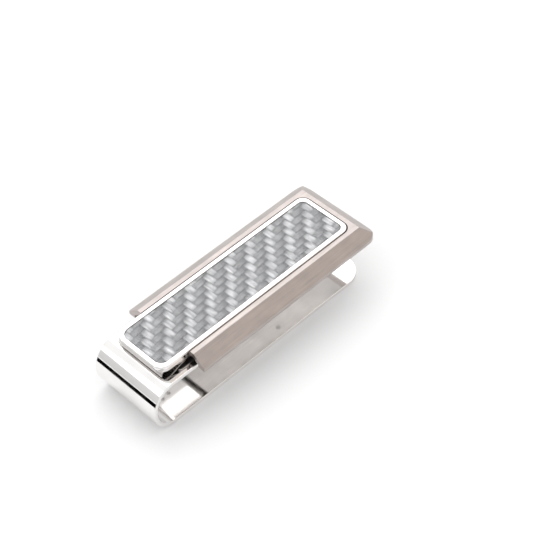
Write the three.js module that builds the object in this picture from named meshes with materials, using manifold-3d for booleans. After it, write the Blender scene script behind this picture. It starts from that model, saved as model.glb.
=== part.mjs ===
// Money clip: a polished spring strap that carries a tilting lever with a woven inlay,
// and a bevelled clamp frame that slides along the lever.
// Millimetres, +X from the bend to the free end, +Y left, +Z up, floor at z = 0.
import * as THREE from "three";
import { mergeVertices } from "three/addons/utils/BufferGeometryUtils.js";
import Module from "manifold-3d";

const wasm = await Module();
wasm.setup();

// ---- Driving dimensions (x is counted from the near edge of the inlay tray) ----
const GAP = 0.02; // between stacked sheets that touch
const FAR = 80; // longer than the object, for cutting shapes

const STRAP = { width: 17.7, thick: 0.95, height: 12, bendX: 0.95, bendDepth: 5.25, armEnd: 13.2, jawEnd: 56.5 };
const JAW_CORNER_R = 5;
const STRAP_EASE = 0.12; // eased edge of the polished strap

const TRAY = { length: 53.6, width: 14.05, top: 14.95, bottom: 13.5, nearR: 2.4, farR: 2, rim: 1.05, recess: 0.7 };
const POCKET = { nearR: 1.9, farR: 1.4 };
const TRAY_EASE = 0.15;
const HEAD_END = 6.5; // the thick, overhanging head of the tray ends here
const GROOVE = { depth: 0.475, top: 14.5 }; // slide groove along each side of the tray

const PIVOT = { x: 10.2, z: 12.85, pinR: 0.38, boreR: 0.42 };
const LUG = { r: 0.7, inner: 5.3, outer: 5.9 };
const EAR = { r: 0.72, inner: 6.2, outer: 6.8 };
const SADDLE = { x0: 8, x1: 11.2, thick: 0.36 };
const CARRIER = { x0: 4.8, x1: 51.6, halfWidth: 6.9, top: 13.45, thick: 0.4 };

const FRAME = { x0: 7.5, landTop: 14.75, land: 1.05, bevelRun: 2.85, bevelDrop: 2.3, bottom: 11.55 };
const FRAME_GAP = 0.22; // all round the tray
const FRAME_CORNER_R = 2.8;
const CAVITY = { halfWidth: 9.4, roof: 13.5, chamferRun: 1.3, chamferDrop: 1.1, endX: 56.2 };
const TONGUE = { inner: 6.75, z0: 13.6, z1: 14.35, x1: 52.6 };
const JAW_PLATE = { x0: 15, x1: 56.05, halfWidth: 9.25, thick: 0.55, cornerR: 1.4 };
const BOSS = { r: 0.9, y: 8.4, xs: [18, 53], holeR: 0.42, holeTop: 13 };

const SLIDE_TRAVEL = 5.5;
const STOP_PIN = { x: 38, r: 0.55 };
const LEAF = { thick: 0.25, halfWidth: 6.4, fixedX: 7.8, flatX: 6.3, crestX: 2.3, noseX: 1.35, crestZ: 13.32 };
const LEAF_TIP = { x: 0.6, z: 12.3 }; // the nose of the leaf turns down to just above the strap
const DRAG_LEAF = { x0: 26.6, x1: 35.4, halfWidth: 2.2, thick: 0.2 };

const STRAP_TOP = STRAP.height;
const STRAP_UNDER = STRAP.height - STRAP.thick;
const CARRIER_UNDER = CARRIER.top - CARRIER.thick;
const OPENING_HALF = TRAY.width / 2 + FRAME_GAP;
const OPENING_END = TRAY.length + FRAME_GAP;
const LAND_OUTER = OPENING_HALF + FRAME.land;
const LAND_END = OPENING_END + FRAME.land;
const FRAME_HALF = LAND_OUTER + FRAME.bevelRun;
const FRAME_END = LAND_END + FRAME.bevelRun;
const BEND_TIP = STRAP.bendX - STRAP.bendDepth;
const CENTRE_X = (BEND_TIP + FRAME_END) / 2;

// ---- Materials ----
const finish = (color, roughness, metalness) => new THREE.MeshStandardMaterial({ color, roughness, metalness });
const polished = () => finish(0xe6e4e2, 0.06, 1);
const brushed = () => finish(0xb4aaa3, 0.38, 1);
const springSteel = () => finish(0x9c9894, 0.25, 1);
const darkSteel = () => finish(0x6e6a68, 0.35, 1);
const weaveSilver = () => finish(0xb2b3b5, 0.4, 0.6);
const resin = () => new THREE.MeshStandardMaterial({
  color: 0xf2f4f5, roughness: 0.08, metalness: 0, transparent: true, opacity: 0.15,
});
const filmGrey = () => finish(0x55565a, 0.7, 0);

// ---- Solid modelling helpers ----
function solid(geometry) {
  const bare = geometry.clone();
  bare.deleteAttribute("normal");
  bare.deleteAttribute("uv");
  const merged = mergeVertices(bare, 1e-5);
  return new wasm.Manifold(new wasm.Mesh({
    numProp: 3,
    vertProperties: merged.attributes.position.array,
    triVerts: new Uint32Array(merged.index.array),
  }));
}

function geometryOf(body) {
  const mesh = body.getMesh();
  const geometry = new THREE.BufferGeometry();
  geometry.setAttribute("position", new THREE.BufferAttribute(new Float32Array(mesh.vertProperties), 3));
  geometry.setIndex(new THREE.BufferAttribute(new Uint32Array(mesh.triVerts), 1));
  geometry.computeVertexNormals();
  return geometry;
}

const join = (...bodies) => bodies.reduce((whole, body) => whole.add(body));
const cut = (body, ...tools) => tools.reduce((rest, tool) => rest.subtract(tool), body);

function extrude(shape, depth, curveSegments = 12, ease = 0) {
  return new THREE.ExtrudeGeometry(shape, {
    depth: depth - 2 * ease,
    curveSegments,
    bevelEnabled: ease > 0,
    bevelSize: ease,
    bevelThickness: ease,
    bevelOffset: -ease,
    bevelSegments: 2,
  }).translate(0, 0, ease);
}

// A plan outline (x, y) raised from z0 to z1.
function upright(shape, z0, z1, ease = 0) {
  return solid(extrude(shape, z1 - z0, 10, ease).translate(0, 0, z0));
}

// A side outline (x, z) carried from y0 to y1.
function across(shape, y0, y1, ease = 0) {
  return solid(extrude(shape, y1 - y0, 20, ease).rotateX(Math.PI / 2).translate(0, y1, 0));
}

// A cross-section (y, z) carried from x0 to x1.
function along(shape, x0, x1) {
  const turn = new THREE.Matrix4().makeBasis(
    new THREE.Vector3(0, 1, 0), new THREE.Vector3(0, 0, 1), new THREE.Vector3(1, 0, 0));
  return solid(extrude(shape, x1 - x0).applyMatrix4(turn).translate(x0, 0, 0));
}

function polygon(points) {
  return new THREE.Shape(points.map(([a, b]) => new THREE.Vector2(a, b)));
}

// A rectangle whose low-x corners have radius r0 and high-x corners radius r1.
function rectangle(x0, x1, halfWidth, r0, r1) {
  const s = new THREE.Shape();
  const corner = (x, y, r, from) => {
    if (r > 0) s.absarc(x, y, r, from, from + Math.PI / 2, false);
    else s.lineTo(x, y);
  };
  s.moveTo(x0 + r0, -halfWidth);
  corner(x1 - r1, -halfWidth + r1, r1, -Math.PI / 2);
  corner(x1 - r1, halfWidth - r1, r1, 0);
  corner(x0 + r0, halfWidth - r0, r0, Math.PI / 2);
  corner(x0 + r0, -halfWidth + r0, r0, Math.PI);
  return s;
}

function box(x0, x1, y0, y1, z0, z1) {
  return solid(new THREE.BoxGeometry(x1 - x0, y1 - y0, z1 - z0)
    .translate((x0 + x1) / 2, (y0 + y1) / 2, (z0 + z1) / 2));
}

function post(x, y, r, z0, z1, sides = 20) {
  return solid(new THREE.CylinderGeometry(r, r, z1 - z0, sides).rotateX(Math.PI / 2)
    .translate(x, y, (z0 + z1) / 2));
}

function crossBar(x, z, r, y0, y1, sides = 24) {
  return solid(new THREE.CylinderGeometry(r, r, y1 - y0, sides).translate(x, (y0 + y1) / 2, z));
}

// A round fastener on a vertical axis, from [radius, z] pairs running upwards.
function turned(x, y, profile, sides = 20) {
  const first = profile[0][1];
  const last = profile[profile.length - 1][1];
  const points = [[0, first], ...profile, [0, last]].map(([r, z]) => new THREE.Vector2(r, z));
  return new THREE.LatheGeometry(points, sides).rotateX(Math.PI / 2).translate(x, y, 0);
}

// ---- Assembly ----
const clip = new THREE.Group();
clip.position.x = -CENTRE_X;

function piece(name, body, material) {
  const geometry = body.isBufferGeometry ? body : geometryOf(body);
  const mesh = new THREE.Mesh(geometry, material);
  mesh.name = name;
  clip.add(mesh);
}

// ---- Spring strap: lower jaw, half-elliptical bend and upper arm from one polished strip ----
const STRAP_RIVETS = { saddle: { x: 8.9, y: 3.6, r: 0.45 }, leaf: { x: 7.05, y: 3.2, r: 0.4 } };

function strapOutline() {
  const { height, thick, bendX, bendDepth, armEnd, jawEnd } = STRAP;
  const mid = height / 2;
  const s = new THREE.Shape();
  s.moveTo(armEnd, height);
  s.lineTo(bendX, height);
  s.absellipse(bendX, mid, bendDepth, mid, Math.PI / 2, 1.5 * Math.PI, false);
  s.lineTo(jawEnd, 0);
  s.lineTo(jawEnd, thick);
  s.lineTo(bendX, thick);
  s.absellipse(bendX, mid, bendDepth - thick, mid - thick, 1.5 * Math.PI, Math.PI / 2, true);
  s.lineTo(armEnd, height - thick);
  return s;
}

function springStrap() {
  const strip = across(strapOutline(), -STRAP.width / 2, STRAP.width / 2, STRAP_EASE);
  const jawPlan = upright(rectangle(20, STRAP.jawEnd, STRAP.width / 2, 0, JAW_CORNER_R), -1, 2);
  const rest = box(BEND_TIP - 1, 20, -STRAP.width, STRAP.width, -1, 20);
  const holes = Object.values(STRAP_RIVETS).flatMap(({ x, y, r }) =>
    [y, -y].map((side) => post(x, side, r + GAP, STRAP_UNDER - 1, STRAP_TOP + 1)));
  return cut(strip.intersect(join(jawPlan, rest)), ...holes);
}

piece("spring_strap", springStrap(), polished());

// ---- Hinge: saddle riveted to the arm, and the cross pin ----
const SADDLE_BASE = STRAP_TOP + GAP;
const SADDLE_TOP = SADDLE_BASE + SADDLE.thick;

function lugOutline(r, toZ) {
  const s = new THREE.Shape();
  s.moveTo(PIVOT.x - r, toZ);
  if (toZ < PIVOT.z) {
    s.lineTo(PIVOT.x + r, toZ);
    s.lineTo(PIVOT.x + r, PIVOT.z);
    s.absarc(PIVOT.x, PIVOT.z, r, 0, Math.PI, false);
  } else {
    s.lineTo(PIVOT.x - r, PIVOT.z);
    s.absarc(PIVOT.x, PIVOT.z, r, Math.PI, 2 * Math.PI, false);
    s.lineTo(PIVOT.x + r, toZ);
  }
  return s;
}

function hingeSaddle() {
  const base = box(SADDLE.x0, SADDLE.x1, -LUG.outer, LUG.outer, SADDLE_BASE, SADDLE_TOP);
  const outline = lugOutline(LUG.r, SADDLE_BASE);
  const left = across(outline, LUG.inner, LUG.outer);
  const right = across(outline, -LUG.outer, -LUG.inner);
  const bore = crossBar(PIVOT.x, PIVOT.z, PIVOT.boreR, -FAR / 2, FAR / 2);
  const { x, y, r } = STRAP_RIVETS.saddle;
  const holes = [y, -y].map((side) => post(x, side, r + GAP, SADDLE_BASE - 1, SADDLE_TOP + 1));
  return cut(join(base, left, right), bore, ...holes);
}

piece("hinge_saddle", hingeSaddle(), springSteel());

function rivet({ x, y, r }, side, restZ) {
  const headR = r + 0.25;
  const headZ = restZ + GAP;
  return turned(x, side * y, [[r, STRAP_UNDER], [r, headZ], [headR, headZ], [headR, headZ + 0.1], [r, headZ + 0.2]]);
}

const LEFT_RIGHT = [["left", 1], ["right", -1]];
for (const [side, sign] of LEFT_RIGHT) {
  piece(`saddle_rivet_${side}`, rivet(STRAP_RIVETS.saddle, sign, SADDLE_TOP), darkSteel());
}

function pivotPin() {
  const shank = EAR.outer + GAP;
  const tip = shank + 0.16;
  const profile = [[0, -tip], [0.55, -tip], [0.55, -shank], [PIVOT.pinR, -shank],
    [PIVOT.pinR, shank], [0.55, shank], [0.55, tip], [0, tip]];
  const points = profile.map(([r, y]) => new THREE.Vector2(r, y));
  return new THREE.LatheGeometry(points, 24).translate(PIVOT.x, 0, PIVOT.z);
}

piece("pivot_pin", pivotPin(), darkSteel());

// ---- Leaf spring: fixed to the arm, it pushes the head of the tray up and the free end down ----
function leafCentreLine() {
  const low = STRAP_TOP + GAP + LEAF.thick / 2;
  const { fixedX, flatX, crestX, noseX, crestZ } = LEAF;
  const third = (flatX - crestX) / 2.4;
  const path = new THREE.CurvePath();
  const at = (x, z) => new THREE.Vector3(x, z, 0);
  path.add(new THREE.LineCurve3(at(fixedX, low), at(flatX, low)));
  path.add(new THREE.CubicBezierCurve3(
    at(flatX, low), at(flatX - third, low), at(crestX + third, crestZ), at(crestX, crestZ)));
  path.add(new THREE.LineCurve3(at(crestX, crestZ), at(noseX, crestZ)));
  path.add(new THREE.QuadraticBezierCurve3(
    at(noseX, crestZ), at(LEAF_TIP.x, crestZ), at(LEAF_TIP.x, LEAF_TIP.z)));
  return path.curves.flatMap((curve, i) => curve.getPoints([1, 12, 1, 8][i]).slice(i ? 1 : 0));
}

// A strip of constant thickness along a centre line (x, z), as a closed side outline.
function stripOutline(line, thick) {
  const offset = (sign) => line.map((p, i) => {
    const ahead = line[Math.min(i + 1, line.length - 1)];
    const behind = line[Math.max(i - 1, 0)];
    const run = ahead.clone().sub(behind).normalize();
    return [p.x - sign * run.y * thick / 2, p.y + sign * run.x * thick / 2];
  });
  return polygon([...offset(1), ...offset(-1).reverse()]);
}

function leafSpring() {
  const strip = across(stripOutline(leafCentreLine(), LEAF.thick), -LEAF.halfWidth, LEAF.halfWidth);
  const { x, y, r } = STRAP_RIVETS.leaf;
  return cut(strip, ...[y, -y].map((side) => post(x, side, r + GAP, STRAP_TOP - 1, STRAP_TOP + 1)));
}

piece("leaf_spring", leafSpring(), springSteel());
for (const [side, sign] of LEFT_RIGHT) {
  piece(`leaf_rivet_${side}`, rivet(STRAP_RIVETS.leaf, sign, STRAP_TOP + GAP + LEAF.thick), darkSteel());
}

// ---- Lever: carrier plate, inlay tray, and the woven laminate in it ----
const CARRIER_SCREWS = [["front", 14.5], ["middle", 28], ["rear", 48]];
const CARRIER_SCREW = { r: 0.6, headR: 1.15, headDepth: 0.35, reach: 0.55 };

function leverCarrier() {
  const { x0, x1, halfWidth, top } = CARRIER;
  const plate = upright(rectangle(x0, x1, halfWidth, 0.8, 0.8), CARRIER_UNDER, top);
  const outline = lugOutline(EAR.r, CARRIER_UNDER + 0.1);
  const ears = [across(outline, EAR.inner, EAR.outer), across(outline, -EAR.outer, -EAR.inner)];
  const window = (y0, y1) => box(PIVOT.x - 1.05, PIVOT.x + 1.05, y0, y1, CARRIER_UNDER - 1, top + 1);
  const windows = [window(LUG.inner - 0.2, LUG.outer + 0.15), window(-LUG.outer - 0.15, -LUG.inner + 0.2)];
  const bore = crossBar(PIVOT.x, PIVOT.z, PIVOT.boreR, -FAR / 2, FAR / 2);
  const slotR = STOP_PIN.r + 0.1;
  const slot = upright(rectangle(
    STOP_PIN.x - slotR, STOP_PIN.x + SLIDE_TRAVEL + slotR, slotR, slotR, slotR), CARRIER_UNDER - 1, top + 1);
  const screwHoles = CARRIER_SCREWS.map(([, x]) => post(x, 0, CARRIER_SCREW.r + 0.05, CARRIER_UNDER - 1, top + 1));
  const pinHeadRoom = [[EAR.outer, FAR], [-FAR, -EAR.outer]].map(([y0, y1]) =>
    box(PIVOT.x - 0.9, PIVOT.x + 0.9, y0, y1, CARRIER_UNDER - 1, top + 1));
  return cut(join(plate, ...ears), bore, slot, ...windows, ...screwHoles, ...pinHeadRoom);
}

piece("lever_carrier", leverCarrier(), brushed());

function inlayTray() {
  const { length, width, top, bottom, nearR, farR, rim, recess } = TRAY;
  const block = upright(rectangle(0, length, width / 2, nearR, farR), bottom, top, TRAY_EASE);
  const pocket = upright(
    rectangle(rim, length - rim, width / 2 - rim, POCKET.nearR, POCKET.farR), top - recess, top + 1);
  const grooves = [1, -1].map((sign) => {
    const inner = sign * (width / 2 - GROOVE.depth);
    const outer = sign * width;
    return box(HEAD_END, FAR, Math.min(inner, outer), Math.max(inner, outer), bottom - 1, GROOVE.top);
  });
  const lugRoom = [1, -1].map((sign) => {
    const ys = [sign * (LUG.inner - 0.2), sign * (LUG.outer + 0.15)].sort((a, b) => a - b);
    return box(PIVOT.x - 1.05, PIVOT.x + 1.05, ys[0], ys[1], bottom - 1, bottom + 0.3);
  });
  const screwHoles = CARRIER_SCREWS.map(([, x]) =>
    post(x, 0, CARRIER_SCREW.r + 0.02, bottom - 1, bottom + CARRIER_SCREW.reach + 0.05));
  return cut(block, pocket, ...grooves, ...lugRoom, ...screwHoles);
}

piece("inlay_tray", inlayTray(), polished());

for (const [place, x] of CARRIER_SCREWS) {
  const { r, headR, headDepth, reach } = CARRIER_SCREW;
  const under = CARRIER_UNDER - GAP;
  const drag = place === "middle" ? DRAG_LEAF.thick + GAP : 0;
  const head = under - drag;
  piece(`carrier_screw_${place}`, turned(x, 0, [
    [headR - 0.15, head - headDepth], [headR, head - headDepth + 0.12], [headR, head], [r, head],
    [r, TRAY.bottom + reach],
  ]), darkSteel());
}

const POCKET_FLOOR = TRAY.top - TRAY.recess;
const LAYER_GAP = 0.05; // between the pocket wall and the layers in it
const LAYER_INSET = TRAY.rim + LAYER_GAP;

function layer(z0, z1) {
  const outline = rectangle(LAYER_INSET, TRAY.length - LAYER_INSET, TRAY.width / 2 - LAYER_INSET,
    POCKET.nearR - LAYER_GAP, POCKET.farR - LAYER_GAP);
  return upright(outline, z0, z1);
}

const FILM_TOP = POCKET_FLOOR + 0.06;
const WEAVE_TOP = TRAY.top - 0.2;
piece("bonding_film", layer(POCKET_FLOOR + GAP, FILM_TOP), filmGrey());
piece("woven_inlay", layer(FILM_TOP + GAP, WEAVE_TOP), weaveSilver());
piece("clear_coat", layer(WEAVE_TOP + GAP, TRAY.top), resin());

// ---- Slide: bevelled frame, the jaw plate that closes it, and their fasteners ----
function frameBlock() {
  const { x0, landTop, bevelDrop, bottom } = FRAME;
  const shoulder = landTop - bevelDrop;
  const section = along(polygon([
    [-FRAME_HALF, bottom], [FRAME_HALF, bottom], [FRAME_HALF, shoulder], [LAND_OUTER, landTop],
    [-LAND_OUTER, landTop], [-FRAME_HALF, shoulder]]), x0, FRAME_END + 1);
  const profile = across(polygon([
    [x0 - 1, bottom - 1], [FRAME_END, bottom - 1], [FRAME_END, shoulder], [LAND_END, landTop],
    [LAND_END, landTop + 1], [x0 - 1, landTop + 1]]), -FAR / 2, FAR / 2);
  const plan = upright(rectangle(x0 - 1, FRAME_END, FRAME_HALF, 0, FRAME_CORNER_R), bottom - 1, landTop + 1);
  return section.intersect(profile).intersect(plan);
}

function frameCavity() {
  const { halfWidth, roof, chamferRun, chamferDrop, endX } = CAVITY;
  const shoulder = roof - chamferDrop;
  const section = along(polygon([
    [-halfWidth, 5], [halfWidth, 5], [halfWidth, shoulder], [halfWidth - chamferRun, roof],
    [chamferRun - halfWidth, roof], [-halfWidth, shoulder]]), 0, endX);
  const profile = across(polygon([
    [0, 4], [endX, 4], [endX, shoulder], [endX - chamferRun, roof], [0, roof]]), -FAR / 2, FAR / 2);
  const plan = upright(rectangle(0, endX, halfWidth, 0, 1.5), 4, 20);
  return section.intersect(profile).intersect(plan);
}

function frameOpening() {
  const wide = (z0, z1) => upright(
    rectangle(0, OPENING_END, OPENING_HALF, 0, TRAY.farR + FRAME_GAP), z0, z1);
  const narrow = box(0, TONGUE.x1, -TONGUE.inner, TONGUE.inner, TONGUE.z0 - 0.2, TONGUE.z1 + 0.2);
  const beyond = wide(TONGUE.z0 - 0.2, TONGUE.z1 + 0.2)
    .intersect(box(TONGUE.x1, FAR, -FAR / 2, FAR / 2, 0, 20));
  return join(wide(CAVITY.roof - 0.2, TONGUE.z0), narrow, beyond, wide(TONGUE.z1, 20));
}

function slideFrame() {
  const bosses = BOSS.xs.flatMap((x) => [BOSS.y, -BOSS.y].map((y) =>
    post(x, y, BOSS.r, FRAME.bottom + JAW_PLATE.thick + GAP, CAVITY.roof + 0.05)));
  const holes = BOSS.xs.flatMap((x) => [BOSS.y, -BOSS.y].map((y) => post(x, y, BOSS.holeR, 5, BOSS.holeTop)));
  return cut(join(cut(frameBlock(), frameCavity(), frameOpening()), ...bosses), ...holes);
}

piece("slide_frame", slideFrame(), brushed());

const JAW_PLATE_TOP = FRAME.bottom + JAW_PLATE.thick;
const JAW_SCREW = { r: 0.38, headR: 0.75, headDepth: 0.36 };

function jawScrewProfile(clearance) {
  const { r, headR, headDepth } = JAW_SCREW;
  const foot = FRAME.bottom;
  return [[headR + clearance, foot], [r + clearance, foot + headDepth], [r + clearance, BOSS.holeTop - 0.1]];
}

function slideJawPlate() {
  const { x0, x1, halfWidth, cornerR } = JAW_PLATE;
  const plate = upright(rectangle(x0, x1, halfWidth, 0.6, cornerR), FRAME.bottom, JAW_PLATE_TOP);
  const countersinks = BOSS.xs.flatMap((x) => [BOSS.y, -BOSS.y].map((y) =>
    solid(turned(x, y, [[JAW_SCREW.headR + 0.04, FRAME.bottom - 0.5], ...jawScrewProfile(0.04)]))));
  const pinHole = post(STOP_PIN.x, 0, STOP_PIN.r + 0.03, 5, 20);
  return cut(plate, pinHole, ...countersinks);
}

piece("slide_jaw_plate", slideJawPlate(), brushed());

for (const [row, x] of [["near", BOSS.xs[0]], ["far", BOSS.xs[1]]]) {
  for (const [side, sign] of LEFT_RIGHT) {
    piece(`jaw_screw_${row}_${side}`, turned(x, sign * BOSS.y, jawScrewProfile(0)), darkSteel());
  }
}

piece("slide_stop_pin", turned(STOP_PIN.x, 0, [
  [STOP_PIN.r, FRAME.bottom], [STOP_PIN.r, JAW_PLATE_TOP + GAP], [STOP_PIN.r + 0.35, JAW_PLATE_TOP + GAP],
  [STOP_PIN.r + 0.35, JAW_PLATE_TOP + 0.25], [STOP_PIN.r, JAW_PLATE_TOP + 0.25], [STOP_PIN.r, CARRIER.top - 0.05],
]), darkSteel());

// ---- Drag leaf: a strip under the carrier whose foot rubs on the jaw plate and holds the slide ----
function dragLeaf() {
  const { x0, x1, halfWidth, thick } = DRAG_LEAF;
  const high = CARRIER_UNDER - GAP - thick / 2;
  const low = JAW_PLATE_TOP + 0.05 + thick / 2;
  const at = (x, z) => new THREE.Vector3(x, z, 0);
  const flat = [at(x0, high), at(29.4, high)];
  const dip = new THREE.CubicBezierCurve3(at(29.4, high), at(31, high), at(32.2, low), at(34, low)).getPoints(10);
  const line = [...flat, ...dip.slice(1), at(x1, low + 0.25)];
  const strip = across(stripOutline(line, thick), -halfWidth, halfWidth);
  return cut(strip, post(CARRIER_SCREWS[1][1], 0, CARRIER_SCREW.r + 0.05, 10, 20));
}

piece("drag_leaf", dragLeaf(), springSteel());

const moneyClip = new THREE.Group();
moneyClip.add(clip);
export default moneyClip;
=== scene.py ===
import math
import random

import bmesh
import bpy
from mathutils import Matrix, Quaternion, Vector


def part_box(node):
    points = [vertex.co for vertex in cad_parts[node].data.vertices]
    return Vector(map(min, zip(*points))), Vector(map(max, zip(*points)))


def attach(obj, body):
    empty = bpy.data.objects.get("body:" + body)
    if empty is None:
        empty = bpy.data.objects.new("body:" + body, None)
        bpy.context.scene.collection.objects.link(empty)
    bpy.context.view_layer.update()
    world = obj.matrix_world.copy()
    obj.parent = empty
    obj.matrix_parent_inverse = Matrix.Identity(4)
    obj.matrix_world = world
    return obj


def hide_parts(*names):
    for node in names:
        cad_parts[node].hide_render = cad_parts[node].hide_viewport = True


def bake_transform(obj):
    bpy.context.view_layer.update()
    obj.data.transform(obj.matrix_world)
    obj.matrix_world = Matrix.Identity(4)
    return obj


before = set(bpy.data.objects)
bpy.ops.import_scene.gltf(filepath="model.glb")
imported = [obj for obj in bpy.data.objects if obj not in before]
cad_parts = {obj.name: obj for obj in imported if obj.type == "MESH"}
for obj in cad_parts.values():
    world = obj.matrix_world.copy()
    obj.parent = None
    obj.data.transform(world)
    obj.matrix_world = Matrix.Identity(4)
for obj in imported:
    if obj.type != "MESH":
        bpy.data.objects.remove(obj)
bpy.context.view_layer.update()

MM = 0.001
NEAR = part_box("inlay_tray")[0].x  # the tray's near edge in the row frame


# ---- Sizes read from the frame, in millimetres ----
def extents(node):
    """Lowest and highest corner of a CAD node, in millimetres from the tray's near edge."""
    return [(corner - Vector((NEAR, 0, 0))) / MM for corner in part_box(node)]


def place(x, y, z):
    """A point given in millimetres from the tray's near edge, in the row frame."""
    return Vector((NEAR + x * MM, y * MM, z * MM))


STRAP_LO, STRAP_HI = extents("spring_strap")
TRAY_LO, TRAY_HI = extents("inlay_tray")
FRAME_LO, FRAME_HI = extents("slide_frame")
WEAVE_LO, WEAVE_HI = extents("woven_inlay")
COAT_LO, COAT_HI = extents("clear_coat")
LEAF_LO, LEAF_HI = extents("leaf_spring")

STRAP = {"thick": 0.95, "bend_x": 0.95, "arm_end": 13.2, "corner": 5.0, "ease": 0.14}
STRAP_SWEEP = 0.92  # part of a quarter turn that each corner of the strap's end takes before the flat tip
SADDLE_HOLE = (8.9, 3.6, 0.47)  # x, y to each side, and radius
LEAF_HOLE = (7.05, 3.2, 0.42)
TRAY = {"near_corner": 2.4, "far_corner": 2.0, "rim": 1.05, "recess": 0.7}
TRAY_EASE = {"outer": 0.24, "inner": 0.12, "lower": 0.1}
POCKET = {"near_corner": 1.9, "far_corner": 1.4}
LAYER_GAP = 0.05  # between the pocket wall and the layers in it
HEAD_END = 6.5
GROOVE = {"depth": 0.475, "top": 14.5}
PIVOT_X = 10.2
LUG = {"inner": 5.3, "outer": 5.9}
LUG_ROOM = {"half": 1.05, "inside": 0.2, "outside": 0.15, "rise": 0.3}
FRAME = {"gap": 0.22, "land": 1.05, "bevel_run": 2.85, "bevel_drop": 2.3, "corner": 2.8, "bottom": 11.55}
CAVITY = {"half": 9.4, "end": 56.2, "roof": 13.5, "chamfer_run": 1.3, "chamfer_drop": 1.1, "corner": 1.5}
TONGUE = {"inner": 6.75, "low": 13.6, "high": 14.35}
BOSS = {"r": 0.9, "y": 8.4, "xs": (18, 53), "low": 12.12, "high": 13.55}
LEAF = {"thick": 0.25, "ease": 0.05, "flat_x": 6.3, "crest_x": 2.3, "crest_z": 13.32, "nose_x": 1.35,
        "tip": (0.6, 12.3)}
COAT_DISH = [(0, 0.06), (0.08, 0.10), (0.3, 0.12), (0.9, 0.13)]  # step in from the edge, and depth
PAST = 1  # how far a cutter reaches past the metal
WIDE = 20  # a half-width beyond every side
QUARTER_STEPS = (1.0, 0.85, 0.5, 0.0)  # stations round the eased edge of a cut end


# ---- Mesh helpers ----
def add_object(name, mesh, material):
    """A scene object for a mesh, with its material."""
    obj = bpy.data.objects.new(name, mesh)
    bpy.context.scene.collection.objects.link(obj)
    mesh.materials.append(material)
    return obj


def smooth(obj, angle=30):
    """Smooth shading that keeps edges sharper than the angle, with flat faces held flat."""
    obj.data.shade_smooth()
    obj.data.set_sharp_from_angle(angle=math.radians(angle))
    modifier = obj.modifiers.new("machined normals", "WEIGHTED_NORMAL")
    modifier.keep_sharp = True
    return obj


def loft_into(bm, rings):
    """Joins closed rings of points with quads and closes both ends."""
    rows = [[bm.verts.new(place(*p)) for p in ring] for ring in rings]
    count = len(rows[0])
    for low, high in zip(rows, rows[1:]):
        for i in range(count):
            j = (i + 1) % count
            bm.faces.new((low[i], low[j], high[j], high[i]))
    bm.faces.new(list(reversed(rows[0])))
    bm.faces.new(rows[-1])


def finish_mesh(bm, name, material):
    """Welds and turns the faces of a built mesh outwards, and makes an object of it."""
    bmesh.ops.remove_doubles(bm, verts=bm.verts, dist=1e-7)
    bmesh.ops.dissolve_degenerate(bm, edges=bm.edges, dist=1e-7)
    bmesh.ops.recalc_face_normals(bm, faces=bm.faces)
    mesh = bpy.data.meshes.new(name)
    bm.to_mesh(mesh)
    bm.free()
    return add_object(name, mesh, material)


def loft(name, rings, material):
    """One closed piece from a row of rings."""
    bm = bmesh.new()
    loft_into(bm, rings)
    return finish_mesh(bm, name, material)


def box_rings(x0, x1, y0, y1, z0, z1):
    """The two level ends of a box."""
    return [[(x0, y0, z), (x1, y0, z), (x1, y1, z), (x0, y1, z)] for z in (z0, z1)]


def round_rings(x, y, radius, z0, z1, sides=32):
    """The two level ends of an upright cylinder."""
    turns = [2 * math.pi * i / sides for i in range(sides)]
    return [[(x + radius * math.cos(t), y + radius * math.sin(t), z) for t in turns] for z in (z0, z1)]


def carve(obj, cutters):
    """Cuts closed shapes, each given as rings, out of a piece."""
    bm = bmesh.new()
    for rings in cutters:
        loft_into(bm, rings)
    tool = finish_mesh(bm, "cutter", obj.data.materials[0])
    modifier = obj.modifiers.new("carve", "BOOLEAN")
    modifier.object = tool
    modifier.solver = "EXACT"
    shape = obj.evaluated_get(bpy.context.evaluated_depsgraph_get())
    obj.data = bpy.data.meshes.new_from_object(shape)
    obj.modifiers.clear()
    bpy.data.objects.remove(tool)
    return obj


def fillet(points, radii, steps=4):
    """Rounds the corners of a closed outline; radius 0 keeps a corner."""
    made = []
    for i, (point, radius) in enumerate(zip(points, radii)):
        here = Vector(point)
        if radius <= 0:
            made.append(tuple(here))
            continue
        back = (Vector(points[i - 1]) - here).normalized()
        ahead = (Vector(points[(i + 1) % len(points)]) - here).normalized()
        half = back.angle(ahead) / 2
        reach = radius / math.tan(half)
        centre = here + (back + ahead).normalized() * radius / math.sin(half)
        start = here + back * reach - centre
        stop = here + ahead * reach - centre
        turn = start.angle(stop)
        for k in range(steps + 1):
            s = k / steps
            w0 = math.sin((1 - s) * turn) / math.sin(turn)
            w1 = math.sin(s * turn) / math.sin(turn)
            made.append(tuple(centre + start * w0 + stop * w1))
    return made


def round_rectangle(x0, x1, half, near, far, z, steps=14):
    """A level outline with round corners of two radii, anticlockwise from the low-x, right side."""
    ring = []
    corners = [(x0 + near, near - half, near), (x1 - far, far - half, far),
               (x1 - far, half - far, far), (x0 + near, half - near, near)]
    for quarter, (cx, cy, radius) in enumerate(corners):
        for k in range(steps + 1):
            t = math.pi * (1 + quarter / 2 + k / steps / 2)
            ring.append((cx + radius * math.cos(t), cy + radius * math.sin(t), z))
    return ring


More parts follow.
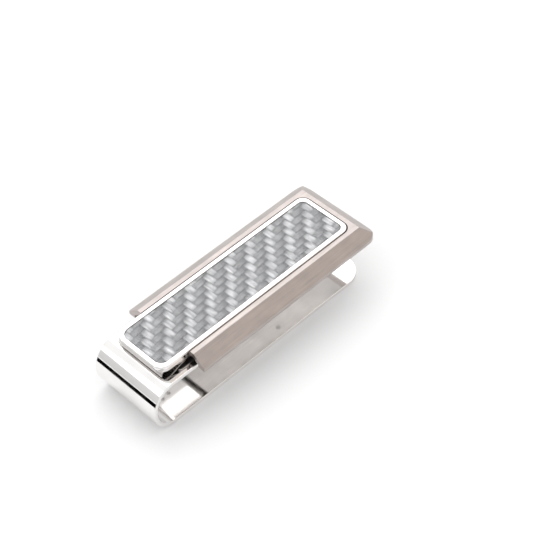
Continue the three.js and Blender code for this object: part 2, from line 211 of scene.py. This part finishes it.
# ---- Material helpers ----
class Nodes:
    """Short calls for a material's node tree."""

    def __init__(self, name):
        self.material = bpy.data.materials.new(name)
        self.material.use_nodes = True
        self.tree = self.material.node_tree
        self.shader = self.tree.nodes["Principled BSDF"]
        self.place = self.add("ShaderNodeTexCoord").outputs["Object"]

    def add(self, kind, inputs=None, **settings):
        node = self.tree.nodes.new(kind)
        for key, value in settings.items():
            setattr(node, key, value)
        for key, value in (inputs or {}).items():
            self.put(node.inputs[key], value)
        return node

    def put(self, socket, value):
        if isinstance(value, bpy.types.NodeSocket):
            self.tree.links.new(value, socket)
        else:
            socket.default_value = value

    def set(self, **values):
        for key, value in values.items():
            self.put(self.shader.inputs[key.replace("_", " ")], value)

    def scaled(self, scale, source=None):
        """The object position in metres, stretched by a scale for each axis."""
        return self.add("ShaderNodeMapping", {"Vector": source or self.place, "Scale": scale}).outputs[0]

    def noise(self, scale, detail=2.0, roughness=0.5, source=None):
        """A noise with its own scale for each axis."""
        inputs = {"Vector": self.scaled(scale, source), "Scale": 1.0, "Detail": detail}
        inputs["Roughness"] = roughness
        return self.add("ShaderNodeTexNoise", inputs).outputs["Fac"]

    def ramp(self, value, low, high, out_low, out_high):
        """Maps a value from one range to another."""
        inputs = {"Value": value, "From Min": low, "From Max": high, "To Min": out_low, "To Max": out_high}
        return self.add("ShaderNodeMapRange", inputs).outputs["Result"]

    def math(self, operation, a, b=0.0):
        return self.add("ShaderNodeMath", {0: a, 1: b}, operation=operation).outputs[0]

    def mix(self, factor, dark, light):
        node = self.add("ShaderNodeMix", data_type="RGBA")
        for key, value in (("Factor", factor), ("A", dark), ("B", light)):
            sockets = [s for s in node.inputs if s.name == key and s.enabled]
            self.put(sockets[0], value)
        return [s for s in node.outputs if s.enabled][0]

    def bump(self, height, distance, strength=1.0, before=None):
        inputs = {"Height": height, "Distance": distance, "Strength": strength}
        node = self.add("ShaderNodeBump", inputs)
        if before:
            self.put(node.inputs["Normal"], before)
        return node.outputs[0]


def colour(r, g, b):
    """A colour with full alpha."""
    return (r, g, b, 1.0)


FRAME_TINT = (0.46, 0.415, 0.395)
PLATE_TINT = (0.62, 0.60, 0.585)


def polished_steel():
    """Mirror steel with a faint haze and hairline scratches along its length."""
    n = Nodes("polished steel")
    haze = n.noise((180, 180, 180), 3)
    hairline = n.noise((60, 5200, 5200), 2, 0.6)
    wear = n.ramp(haze, 0.35, 0.7, 0.0, 1.0)
    n.set(Base_Color=n.mix(wear, colour(0.89, 0.875, 0.865), colour(0.83, 0.815, 0.805)),
          Metallic=1.0, Roughness=n.ramp(haze, 0.3, 0.75, 0.045, 0.11),
          Normal=n.bump(n.ramp(hairline, 0.62, 0.8, 0.0, 1.0), 0.000002, 0.25))
    return n.material


def brushed_steel(name, tint):
    """Satin steel, brushed along x on the sides and along y on faces that look down the length."""
    n = Nodes(name)
    streak_x = n.noise((120, 9000, 9000), 3, 0.65)
    streak_y = n.noise((9000, 120, 9000), 3, 0.65)
    normal = n.add("ShaderNodeTexCoord").outputs["Normal"]
    facing = n.add("ShaderNodeSeparateXYZ", {0: normal}).outputs[0]
    turned = n.ramp(n.math("ABSOLUTE", facing), 0.25, 0.45, 0.0, 1.0)
    streak = n.mix(turned, streak_x, streak_y)
    patches = n.noise((260, 260, 260), 3)
    level = n.math("ADD", n.math("MULTIPLY", streak, 0.7), n.math("MULTIPLY", patches, 0.3))
    dark = colour(*(c * 0.78 for c in tint))
    light = colour(*(min(1, c * 1.16) for c in tint))
    n.set(Base_Color=n.mix(n.ramp(level, 0.3, 0.7, 0.0, 1.0), dark, light),
          Metallic=1.0, Roughness=n.ramp(level, 0.3, 0.7, 0.40, 0.30),
          Normal=n.bump(streak, 0.000006, 0.5))
    return n.material


def spring_steel():
    """Rolled strip with fine streaks along its length and a slight stain."""
    n = Nodes("spring steel")
    streak = n.noise((9000, 150, 9000), 2, 0.6)
    stain = n.noise((500, 500, 500), 3)
    n.set(Base_Color=n.mix(stain, colour(0.50, 0.49, 0.48), colour(0.72, 0.70, 0.68)),
          Metallic=1.0, Roughness=n.ramp(streak, 0.3, 0.7, 0.18, 0.32),
          Normal=n.bump(streak, 0.000004, 0.4))
    return n.material


def fastener_steel():
    """Dull, darker steel for pins, rivets and screws."""
    n = Nodes("fastener steel")
    grain = n.noise((2600, 2600, 2600), 3)
    n.set(Base_Color=n.mix(grain, colour(0.28, 0.27, 0.265), colour(0.46, 0.45, 0.44)),
          Metallic=1.0, Roughness=n.ramp(grain, 0.3, 0.7, 0.28, 0.45),
          Normal=n.bump(grain, 0.000006, 0.4))
    return n.material


def bonding_film():
    """Dark, matt adhesive film."""
    n = Nodes("bonding film")
    grain = n.noise((3000, 3000, 3000), 2)
    n.set(Base_Color=n.mix(grain, colour(0.05, 0.05, 0.055), colour(0.12, 0.12, 0.13)),
          Roughness=n.ramp(grain, 0.3, 0.7, 0.55, 0.75),
          Normal=n.bump(grain, 0.00001, 0.5))
    return n.material


def silver_fibre():
    """Silvered fibre tows: filament lines along each tow, times painted light and shade from the tows'
    colour attribute, with painted shade where a tow dives under another.
    """
    n = Nodes("silver fibre")
    uv = n.add("ShaderNodeUVMap", uv_map="tow").outputs[0]
    filament = n.noise((260, 3600, 1), 3, 0.7, uv)
    strand = n.noise((150, 1500, 1), 2, 0.5, uv)
    # painted light and shade of each tow, with its random tone, read from the colour attribute
    shade = n.add("ShaderNodeAttribute", attribute_name="shade").outputs["Fac"]
    lines = n.math("ADD", n.math("MULTIPLY", filament, 0.55), n.math("MULTIPLY", strand, 0.45))
    lit = n.math("MULTIPLY", shade, n.ramp(lines, 0.36, 0.64, 0.45, 1.50))
    n.set(Base_Color=n.mix(lit, colour(0.035, 0.036, 0.04), colour(0.93, 0.93, 0.945)),
          Metallic=0.55, Roughness=n.ramp(lines, 0.3, 0.7, 0.48, 0.32),
          Normal=n.bump(lines, 0.00003, 0.7))
    return n.material


def clear_resin():
    """Thin clear coat over the weave: it only adds a weak gloss."""
    n = Nodes("clear resin")
    ripple = n.noise((220, 220, 220), 2)
    n.set(Base_Color=n.mix(ripple, colour(0.92, 0.94, 0.96), colour(1, 1, 1)),
          Metallic=1.0, Roughness=n.ramp(ripple, 0.3, 0.7, 0.03, 0.07), Alpha=0.05,
          Normal=n.bump(ripple, 0.00001, 0.2))
    return n.material


# ---- Strap: one polished strip, folded round in a half ellipse ----
def strap_ring(outer, inner, half, ease):
    """The strip's section between a point on its outer face and one on its inner face."""
    thick = math.dist(outer, inner)
    section = fillet([(-half, 0), (half, 0), (half, thick), (-half, thick)], [ease] * 4, 4)
    ring = []
    for y, depth in section:
        s = depth / thick
        ring.append((outer[0] + s * (inner[0] - outer[0]), y, outer[1] + s * (inner[1] - outer[1])))
    return ring


def end_stations(end, inwards):
    """Stations (x, inset, corner ease) that round the edge of the strip's cut end."""
    ease = STRAP["ease"]
    steps = QUARTER_STEPS if inwards else QUARTER_STEPS[2::-1]
    insets = [ease * (1 - math.sqrt(1 - s * s)) for s in steps]
    return [(end - ease * (1 - s), inset, ease - 0.6 * inset) for s, inset in zip(steps, insets)]


def strap_rings(bend_steps=96, corner_steps=12):
    """Rings along the strap: upper arm's end, bend, lower leg with its rounded end."""
    thick, bend_x, ease, corner = STRAP["thick"], STRAP["bend_x"], STRAP["ease"], STRAP["corner"]
    half, top, tip, end = STRAP_HI.y, STRAP_HI.z, STRAP_LO.x, STRAP_HI.x
    middle, depth = top / 2, bend_x - tip
    rings = []
    for x, inset, edge in end_stations(STRAP["arm_end"], True):
        rings.append(strap_ring((x, top - inset), (x, top - thick + inset), half - inset, edge))
    for k in range(bend_steps + 1):
        t = math.pi * k / bend_steps
        run, rise = math.sin(t), math.cos(t)
        outer = (bend_x - depth * run, middle + middle * rise)
        inner = (bend_x - (depth - thick) * run, middle + (middle - thick) * rise)
        rings.append(strap_ring(outer, inner, half, ease))
    for k in range(corner_steps + 1):
        t = math.pi / 2 * STRAP_SWEEP * k / corner_steps
        x, wide = end - corner + corner * math.sin(t) - ease, half - corner + corner * math.cos(t)
        rings.append(strap_ring((x, 0), (x, thick), wide, ease))
    for x, inset, edge in end_stations(end, False):
        rings.append(strap_ring((x, inset), (x, thick - inset), wide - inset, edge))
    return rings


def spring_strap():
    """The strap, drilled for the rivets of the saddle and of the leaf."""
    obj = loft("spring_strap_polished", strap_rings(), polished_steel())
    under, over = STRAP_HI.z - STRAP["thick"] - PAST, STRAP_HI.z + PAST
    holes = [round_rings(x, side * y, r, under, over)
             for x, y, r in (SADDLE_HOLE, LEAF_HOLE) for side in (1, -1)]
    carve(obj, holes)
    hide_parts("spring_strap")
    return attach(smooth(obj), "strap")


# ---- Leaf spring under the head of the tray: the real leaf bends as the lever tilts, this one keeps one shape ----
def leaf_line(rise_steps=24, nose_steps=12, lead=0.6):
    """Centre line (x, z) of the leaf: riveted end, crest under the tray, nose turned down to the strap."""
    low = LEAF_LO.z + LEAF["thick"] / 2
    flat, peak, top = LEAF["flat_x"], LEAF["crest_x"], LEAF["crest_z"]
    line = [(LEAF_HI.x, low), (flat + lead, low)]
    for k in range(rise_steps + 1):
        s = k / rise_steps
        line.append((flat + (peak - flat) * s, low + (top - low) * s * s * (3 - 2 * s)))
    nose, (tip_x, tip_z) = LEAF["nose_x"], LEAF["tip"]
    for k in range(nose_steps + 1):
        s = k / nose_steps
        line.append((nose + (tip_x - nose) * s * (2 - s), top + (tip_z - top) * s * s))
    return line


def leaf_spring():
    """The leaf, one strip in a single shape: its foot lies on the strap and its crest against the lever.
    """
    line = leaf_line()
    half, deep = LEAF_HI.y, LEAF["thick"] / 2
    section = fillet([(-half, -deep), (half, -deep), (half, deep), (-half, deep)], [LEAF["ease"]] * 4, 2)
    rings = []
    for i, (x, z) in enumerate(line):
        ahead, behind = line[min(i + 1, len(line) - 1)], line[max(i - 1, 0)]
        run = Vector((ahead[0] - behind[0], ahead[1] - behind[1])).normalized()
        rings.append([(x - run.y * w, y, z + run.x * w) for y, w in section])
    obj = loft("leaf_spring_strip", rings, spring_steel())
    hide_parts("leaf_spring")
    smooth(obj)
    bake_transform(obj)
    return obj


# ---- Tray: raised rim, pocket and overhanging head ----
def tray_rings():
    """Level rings from the tray's underside up its wall, over the rim and down to the pocket's floor."""
    length, half = TRAY_HI.x, TRAY_HI.y
    top, bottom, rim = TRAY_HI.z, TRAY_LO.z, TRAY["rim"]
    outer, inner, low = TRAY_EASE["outer"], TRAY_EASE["inner"], TRAY_EASE["lower"]
    arc = [(math.sin(math.radians(a)), math.cos(math.radians(a))) for a in range(0, 91, 15)]
    wall = [(low * (1 - s), bottom + low * (1 - c)) for s, c in arc]
    wall += [(outer * (1 - c), top - outer * (1 - s)) for s, c in arc]
    lip = [(rim - inner * (1 - s), top - inner * (1 - c)) for s, c in arc]
    lip += [(rim, top - TRAY["recess"])]
    rings = []
    for d, z in wall:
        near, far = TRAY["near_corner"] - d, TRAY["far_corner"] - d
        rings.append(round_rectangle(d, length - d, half - d, near, far, z))
    for d, z in lip:
        near, far = POCKET["near_corner"] + rim - d, POCKET["far_corner"] + rim - d
        rings.append(round_rectangle(d, length - d, half - d, near, far, z))
    return rings


def inlay_tray():
    """The tray, with a groove down each side for the frame's tongues and room over the saddle's lugs."""
    obj = loft("inlay_tray_polished", tray_rings(), polished_steel())
    under, wall = TRAY_LO.z - PAST, TRAY_HI.y - GROOVE["depth"]
    inner, outer = LUG["inner"] - LUG_ROOM["inside"], LUG["outer"] + LUG_ROOM["outside"]
    lug_x = (PIVOT_X - LUG_ROOM["half"], PIVOT_X + LUG_ROOM["half"])
    grooves = [box_rings(HEAD_END, TRAY_HI.x + PAST, *sorted((s * wall, s * WIDE)), under, GROOVE["top"])
               for s in (1, -1)]
    lug_room = [box_rings(*lug_x, *sorted((s * inner, s * outer)), under, TRAY_LO.z + LUG_ROOM["rise"])
                for s in (1, -1)]
    carve(obj, grooves + lug_room)
    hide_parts("inlay_tray")
    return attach(smooth(obj), "lever")


# ---- Woven inlay: a two-by-two twill of flat tows, each one a closed strip ----
PITCH = {"x": 1.56, "y": 1.50}
SKEW = {"x": 0.16, "y": -0.06}  # how far each family of tows leans, over one pitch
WEAVE_START = (-1.48, 0.72)
TOW = {"half": 0.49, "rise": 0.10, "thick": 0.10}
TOW_SECTION = [(-1, 0), (-0.92, 0.42), (-0.75, 0.7), (-0.45, 0.92), (0, 1), (0.45, 0.92),
               (0.75, 0.7), (0.92, 0.42), (1, 0), (0.75, -0.6), (0, -0.8), (-0.75, -0.6)]
TOW_SHADE = {"across": (0.125, 0.31, 0.05), "along": (0.05, 0.115, 0.09)}  # painted light on the floats, brighter on the tows across the tray: middle, swing and lead
TOW_SPREAD = {"tone": 0.06, "lean": 0.02}  # how far one tow differs from the next
TOW_UV = (0.0015, 0.00075)  # filament pattern's length for one pitch and for one half-width
LEAST_SHADE = 0.03
EDGE_SHADE = 0.35  # painted shade: how much darker a tow's edges are than its middle
TINY_FACE = 1e-13
CROSSINGS = 4  # crossings in one repeat of the weave
STEEPNESS = 2.0  # how sharply a tow dives under the next


def lattice(u, v):
    """A point of the weave: u counts tows along the tray and v counts tows across it."""
    x = WEAVE_START[0] + u * PITCH["x"] + v * SKEW["y"]
    return x, WEAVE_START[1] + u * SKEW["x"] + v * PITCH["y"]


def crest(turns):
    """Height of a tow along its run, from -1 under to 1 over; one turn is one repeat of the weave."""
    return math.tanh(STEEPNESS * math.cos(2 * math.pi * turns)) / math.tanh(STEEPNESS)


def clamp_to_pocket(x, y):
    """Brings a point outside the pocket's round-cornered outline back onto it."""
    lo, hi = WEAVE_LO, WEAVE_HI
    radius = POCKET["near_corner" if x < (lo.x + hi.x) / 2 else "far_corner"] - LAYER_GAP
    cx = min(max(x, lo.x + radius), hi.x - radius)
    cy = min(max(y, lo.y + radius), hi.y - radius)
    away = math.hypot(x - cx, y - cy)
    if away <= radius:
        return x, y
    return cx + (x - cx) * radius / away, cy + (y - cy) * radius / away


def tow(bm, layers, across, number, first, last, step=0.09):
    """One tow, laid along u, or along v where across is true."""
    uv_layer, shade_layer = layers
    middle = (WEAVE_LO.z + WEAVE_HI.z) / 2
    centre = number + 0.5 if across else number - 2.5
    tone = random.uniform(1 - TOW_SPREAD["tone"], 1 + TOW_SPREAD["tone"])
    lean = random.uniform(-TOW_SPREAD["lean"], TOW_SPREAD["lean"])
    rows, facts = [], []
    base, gain, lead = TOW_SHADE["across" if across else "along"]
    count = int((last - first) / step)
    for i in range(count + 1):
        t = first + (last - first) * i / count
        turns = (t - centre) / CROSSINGS
        high = crest(turns)
        half = TOW["half"] * (1 + 0.02 * high + lean * math.sin(1.3 * t + number))
        row, fact = [], []
        for s, up in TOW_SECTION:
            u, v = (number + s * half, t) if across else (t, number + s * half)
            x, y = clamp_to_pocket(*lattice(u, v))
            z = middle + TOW["rise"] * high + TOW["thick"] * up
            row.append(bm.verts.new(place(x, y, z)))
            # painted light: a cosine along the tow, darkest where it dives under the next, shifted by the
            # lead towards one end
            fact.append((t, s, math.cos(2 * math.pi * (turns + lead))))
        rows.append(row)
        facts.append(fact)
    size = len(TOW_SECTION)
    for r in range(count):
        for k in range(size):
            m = (k + 1) % size
            face = bm.faces.new((rows[r][k], rows[r][m], rows[r + 1][m], rows[r + 1][k]))
            corners = (facts[r][k], facts[r][m], facts[r + 1][m], facts[r + 1][k])
            for loop, (t, s, lit) in zip(face.loops, corners):
                loop[uv_layer].uv = (t * TOW_UV[0], (s + 3 * number) * TOW_UV[1])
                # colour attribute: random tone times painted light, with painted shade at the tow's edges
                level = tone * max(LEAST_SHADE, base + gain * lit) * (1 - EDGE_SHADE * s ** 4)
                loop[shade_layer] = (level, level, level, 1)
    bm.faces.new(list(reversed(rows[0])))
    bm.faces.new(rows[-1])


def woven_inlay(columns=36, rows=6, drift=0.11):
    """The sheet of tows; drift keeps each tow across the tray centred on the leaning lattice."""
    random.seed(7)
    bm = bmesh.new()
    # the colour layer holds each tow's random tone and its painted light and shade
    layers = (bm.loops.layers.uv.new("tow"), bm.loops.layers.float_color.new("shade"))
    for i in range(-2, columns):
        tow(bm, layers, True, i, -rows - i * drift, rows - i * drift)
    for j in range(-rows - 4, rows):
        tow(bm, layers, False, j, -1, columns - 1)
    drop = [f for f in bm.faces if f.calc_area() < TINY_FACE]
    bmesh.ops.delete(bm, geom=drop, context="FACES")
    bmesh.ops.delete(bm, geom=[v for v in bm.verts if not v.link_faces], context="VERTS")
    mesh = bpy.data.meshes.new("woven_inlay_tows")
    bm.to_mesh(mesh)
    bm.free()
    obj = add_object("woven_inlay_tows", mesh, silver_fibre())
    mesh.shade_smooth()
    mesh.set_sharp_from_angle(angle=math.radians(60))
    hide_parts("woven_inlay")
    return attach(obj, "lever")


def clear_coat():
    """The clear cap, slightly dished below the rim."""
    lo, hi = COAT_LO, COAT_HI
    near, far = POCKET["near_corner"] - LAYER_GAP, POCKET["far_corner"] - LAYER_GAP
    levels = [(0, lo.z)] + [(d, hi.z - depth) for d, depth in COAT_DISH]
    rings = [round_rectangle(lo.x + d, hi.x - d, hi.y - d, near - d, far - d, z) for d, z in levels]
    obj = loft("clear_coat_cap", rings, clear_resin())
    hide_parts("clear_coat")
    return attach(smooth(obj), "lever")


# ---- Slide frame: U-shaped, with a flat land, broad bevels and mitred far corners ----
OPENING_HALF = TRAY_HI.y + FRAME["gap"]
OPENING_END = TRAY_HI.x + FRAME["gap"]
OPENING_CORNER = TRAY["far_corner"] + FRAME["gap"]
CORNER_CENTRE = (OPENING_END - OPENING_CORNER, OPENING_HALF - OPENING_CORNER)
CAVITY_STEP = CAVITY["half"] - OPENING_HALF  # from the opening's wall out to the cavity's
SIDE_STEP = FRAME["land"] + FRAME["bevel_run"]  # and out to the frame's side
SECTION_MIDDLE = (1.6, 13.2)  # the point that the near ends' edges are eased towards
NEAR_END = [(0, 0.06), (0.03, 0.02), (0.10, 0)]  # step along the arm, and how much its edges are eased
FACET = 0.22  # longest facet across the bevel
TINY = 1e-6


def nearest(distances, softness=0.10):
    """The least distance, with the change from one to another rounded off."""
    least, width = min(distances), softness / 2
    total = sum(math.exp((least - d) / width) for d in distances)
    return least - width * math.log(total)


def corner_point(turn, half, end, circle):
    """Where a ray from the opening's corner centre meets a level's outline, in the left, far quarter."""
    kx, ky = CORNER_CENTRE
    c, s = math.cos(turn), math.sin(turn)
    reach = []
    if c > TINY:
        reach.append((end - kx) / c)
    if s > TINY:
        reach.append((half - ky) / s)
    cx, cy, radius = circle
    along = (cx - kx) * c + (cy - ky) * s
    off = (cx - kx) ** 2 + (cy - ky) ** 2 - radius ** 2
    inside = along ** 2 - off
    if inside > 0:
        hit = along + math.sqrt(inside)
        if kx + hit * c > cx and ky + hit * s > cy:
            reach.append(hit)
    d = nearest(reach) if min(c, s) > TINY and len(reach) > 1 else min(reach)
    return kx + d * c, ky + d * s


def frame_profile():
    """The arm's closed section, as points (step out from the opening's wall, z)."""
    top, bottom = FRAME_HI.z, FRAME_LO.z
    land, side, wall = FRAME["land"], SIDE_STEP, CAVITY_STEP
    roof, tongue = CAVITY["roof"], TONGUE["inner"] - OPENING_HALF
    low, high = TONGUE["low"], TONGUE["high"]
    outer = fillet([(0, high), (0, top), (land, top), (side, top - FRAME["bevel_drop"]), (side, bottom),
                    (wall, bottom), (wall, roof - CAVITY["chamfer_drop"]),
                    (wall - CAVITY["chamfer_run"], roof), (0, roof), (0, low),
                    (tongue, low), (tongue, high)],
                   [0, 0.06, 0.10, 0.12, 0.10, 0.05, 0, 0, 0, 0, 0, 0], 4)
    points = []
    for i, (d, z) in enumerate(outer):
        points.append((d, z))
        ahead = outer[(i + 1) % len(outer)]
        pieces = max(1, int(math.dist((d, z), ahead) / FACET)) if d >= land and ahead[0] > d else 1
        points += [(d + (ahead[0] - d) * k / pieces, z + (ahead[1] - z) * k / pieces)
                   for k in range(1, pieces)]
    return points


def level_outline(d, z):
    """Half-width, far end and corner circle of the frame's outline at one point of its section."""
    in_cavity = z < CAVITY["roof"] + 0.01 and 0 < d <= CAVITY_STEP + 0.001
    if in_cavity:
        radius = CAVITY["corner"]
        circle = (CAVITY["end"] - radius, CAVITY["half"] - radius, radius)
        return OPENING_HALF + d, CAVITY["end"] - CAVITY_STEP + d, circle
    if d < FRAME["land"] / 2:
        outwards = max(d, 0)
        return OPENING_HALF + d, OPENING_END + outwards, (*CORNER_CENTRE, OPENING_CORNER + outwards)
    radius = FRAME["corner"]
    circle = (FRAME_HI.x - radius, FRAME_HI.y - radius, radius)
    return OPENING_HALF + d, OPENING_END + d, circle


def frame_stations(arm_steps=12, corner_steps=40):
    """Where the section is drawn, from the right arm's near end round to the left arm's.

    Each station is a ring function, a side (-1 right, 1 left) and the place that the function takes.
    """
    near, start = FRAME_LO.x, NEAR_END[-1][0]
    run = CORNER_CENTRE[0] - near - 2 * start
    arm = [(near + step, ease) for step, ease in NEAR_END]
    arm += [(near + start + run * k / arm_steps, 0) for k in range(1, arm_steps + 1)]
    turns = [math.pi / 2 * k / corner_steps for k in range(corner_steps + 1)]
    stations = [(arm_ring, -1, spot) for spot in arm]
    stations += [(corner_ring, -1, turn) for turn in reversed(turns)]
    stations += [(corner_ring, 1, turn) for turn in turns]
    stations += [(arm_ring, 1, spot) for spot in reversed(arm)]
    return stations


def corner_ring(side, turn, profile):
    """The section on a ray through a far corner; the tongue stops at the opening's wall here."""
    ring = []
    for d, z in profile:
        half, end, circle = level_outline(d, z)
        x, y = corner_point(turn, max(half, OPENING_HALF), end, circle)
        ring.append((x, side * y, z))
    return ring


def arm_ring(side, spot, profile):
    """The section across an arm, drawn in a little where the near end's edges are eased."""
    x, ease = spot
    ring = []
    for d, z in profile:
        pull = Vector(SECTION_MIDDLE) - Vector((d, z))
        pull = pull.normalized() * ease
        ring.append((x, side * (level_outline(d, z)[0] + pull.x), z + pull.y))
    return ring


def slide_frame():
    """The frame: one section carried round the tray, with bosses inside for the jaw plate's screws."""
    profile = frame_profile()
    bm = bmesh.new()
    loft_into(bm, [ring(side, value, profile) for ring, side, value in frame_stations()])
    for x in BOSS["xs"]:
        for side in (1, -1):
            loft_into(bm, round_rings(x, side * BOSS["y"], BOSS["r"], BOSS["low"], BOSS["high"], 24))
    obj = finish_mesh(bm, "slide_frame_brushed", brushed_steel("brushed frame", FRAME_TINT))
    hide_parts("slide_frame")
    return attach(smooth(obj, 24), "slide")


# ---- CAD nodes that stay: a material of their own and slightly rounded edges ----
def dress(node, material, width, angle=35):
    """Gives a CAD node its material, and rounds its edges by a width in millimetres."""
    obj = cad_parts[node]
    obj.data.materials.clear()
    obj.data.materials.append(material)
    bevel = obj.modifiers.new("rounded edges", "BEVEL")
    bevel.width = width * MM
    bevel.segments = 2
    bevel.limit_method = "ANGLE"
    bevel.angle_limit = math.radians(angle)
    obj.data.shade_smooth()
    obj.data.set_sharp_from_angle(angle=math.radians(angle))


def dress_cad_nodes():
    """Materials and edges of the inner parts."""
    plate, spring = brushed_steel("brushed plate", PLATE_TINT), spring_steel()
    fastener, film = fastener_steel(), bonding_film()
    for node in ("lever_carrier", "slide_jaw_plate"):
        dress(node, plate, 0.05)
    for node in ("hinge_saddle", "drag_leaf"):
        dress(node, spring, 0.03)
    dress("bonding_film", film, 0.01)
    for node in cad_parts:
        if "rivet" in node or "screw" in node or node.endswith("_pin"):
            dress(node, fastener, 0.03)


# ---- Stage: pale floor, soft lights, reflection cards and camera ----
def stage_mesh(name, corners, material):
    """One flat face of the set round the clip."""
    mesh = bpy.data.meshes.new(name)
    mesh.from_pydata([Vector(c) for c in corners], [], [range(len(corners))])
    obj = add_object(name, mesh, material)
    return obj


def floor(size=3.0, low=-0.00003):
    """A pale floor, a hair below the strap."""
    n = Nodes("pale floor")
    mottle = n.noise((6, 6, 6), 2)
    n.set(Base_Color=n.mix(mottle, colour(0.91, 0.91, 0.91), colour(0.94, 0.94, 0.94)), Roughness=0.8)
    stage_mesh("floor", [(-size, -size, low), (size, -size, low), (size, size, low), (-size, size, low)],
               n.material)


def card(name, corners, level, tint=(1, 1, 1)):
    """A card that only shows in reflections, as the flags round a product on a table do."""
    n = Nodes(name)
    speck = n.noise((40, 40, 40), 2)
    n.set(Base_Color=n.mix(speck, colour(0, 0, 0), colour(0.004, 0.004, 0.004)), Roughness=1.0,
          Emission_Color=colour(*tint), Emission_Strength=level)
    n.shader.inputs["Specular IOR Level"].default_value = 0
    obj = stage_mesh(name, corners, n.material)
    obj.visible_camera = False
    obj.visible_diffuse = False
    obj.visible_shadow = False
    return obj


def cards():
    """A black flag that draws the dark line round the bend, and a warm panel at the right."""
    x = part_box("spring_strap")[0].x - 0.0225
    right, left, top = -0.08, 0.16, 0.0076
    card("flag at the bend", [(x, right, 0), (x, left, 0), (x, left, top), (x, right, top)], 0.0)
    card("warm panel", [(0.1, -0.5, 0.05), (0.9, -0.5, 0.05), (0.9, -0.3, 0.9), (0.1, -0.5, 0.9)], 0.95,
         (1.0, 0.93, 0.88))


def area_light(name, position, size, power):
    """A square soft light that faces the clip."""
    data = bpy.data.lights.new(name, "AREA")
    data.shape = "RECTANGLE"
    data.size, data.size_y = size, size
    data.energy = power
    obj = bpy.data.objects.new(name, data)
    obj.location = position
    obj.rotation_mode = "QUATERNION"
    obj.rotation_quaternion = (-Vector(position)).to_track_quat("-Z", "Y")
    bpy.context.scene.collection.objects.link(obj)


def lights():
    """A large softbox over the far end and a smaller fill over the near end, both at the left."""
    area_light("overhead softbox", (0.38, 0.42, 0.75), 0.8, 2.3)
    area_light("left fill", (-0.7, 0.35, 0.65), 0.5, 0.7)


# Sine of the elevation, 0 at the horizon and below, and the brightness: walls, dark band and ceiling.
WORLD_STOPS = [(0.0, 0.60), (0.06, 0.64), (0.555, 0.70), (0.57, 0.40), (0.585, 0.94), (1.0, 0.97)]
WORLD_STRENGTH = 1.15


def studio_world():
    """A white room with grey walls, a darker band above them and a bright ceiling."""
    world = bpy.data.worlds.new("studio")
    bpy.context.scene.world = world
    world.use_nodes = True
    tree = world.node_tree
    coord = tree.nodes.new("ShaderNodeTexCoord")
    split = tree.nodes.new("ShaderNodeSeparateXYZ")
    ramp = tree.nodes.new("ShaderNodeValToRGB")
    background = tree.nodes["Background"]
    tree.links.new(coord.outputs["Generated"], split.inputs[0])
    tree.links.new(split.outputs[2], ramp.inputs[0])
    tree.links.new(ramp.outputs[0], background.inputs[0])
    while len(ramp.color_ramp.elements) < len(WORLD_STOPS):
        ramp.color_ramp.elements.new(0.5)
    for element, (position, level) in zip(ramp.color_ramp.elements, WORLD_STOPS):
        element.position = position
        element.color = colour(level, level, level)
    background.inputs["Strength"].default_value = WORLD_STRENGTH


CAMERA = {"lens": 99.76, "azimuth": -42.96, "elevation": 47.50, "roll": -2.87, "distance": 0.32495}
CAMERA_AIM = (0.010765, -0.001899, 0.0075)


def camera():
    """The camera, above the clip's near end and to its right."""
    data = bpy.data.cameras.new("camera")
    data.lens = CAMERA["lens"]
    data.sensor_width = 36.0
    data.clip_start, data.clip_end = 0.01, 20.0
    obj = bpy.data.objects.new("camera", data)
    azimuth, elevation, roll = (math.radians(CAMERA[key]) for key in ("azimuth", "elevation", "roll"))
    back = Vector((math.sin(azimuth) * math.cos(elevation),
                   -math.cos(azimuth) * math.cos(elevation), math.sin(elevation)))
    obj.location = Vector(CAMERA_AIM) + back * CAMERA["distance"]
    obj.rotation_mode = "QUATERNION"
    obj.rotation_quaternion = (-back).to_track_quat("-Z", "Y") @ Quaternion((0, 0, 1), roll)
    bpy.context.scene.collection.objects.link(obj)
    bpy.context.scene.camera = obj


camera()
studio_world()
lights()
floor()
cards()
spring_strap()
leaf_spring()
inlay_tray()
woven_inlay()
clear_coat()
slide_frame()
dress_cad_nodes()

bpy.context.scene.view_settings.view_transform = "Standard"
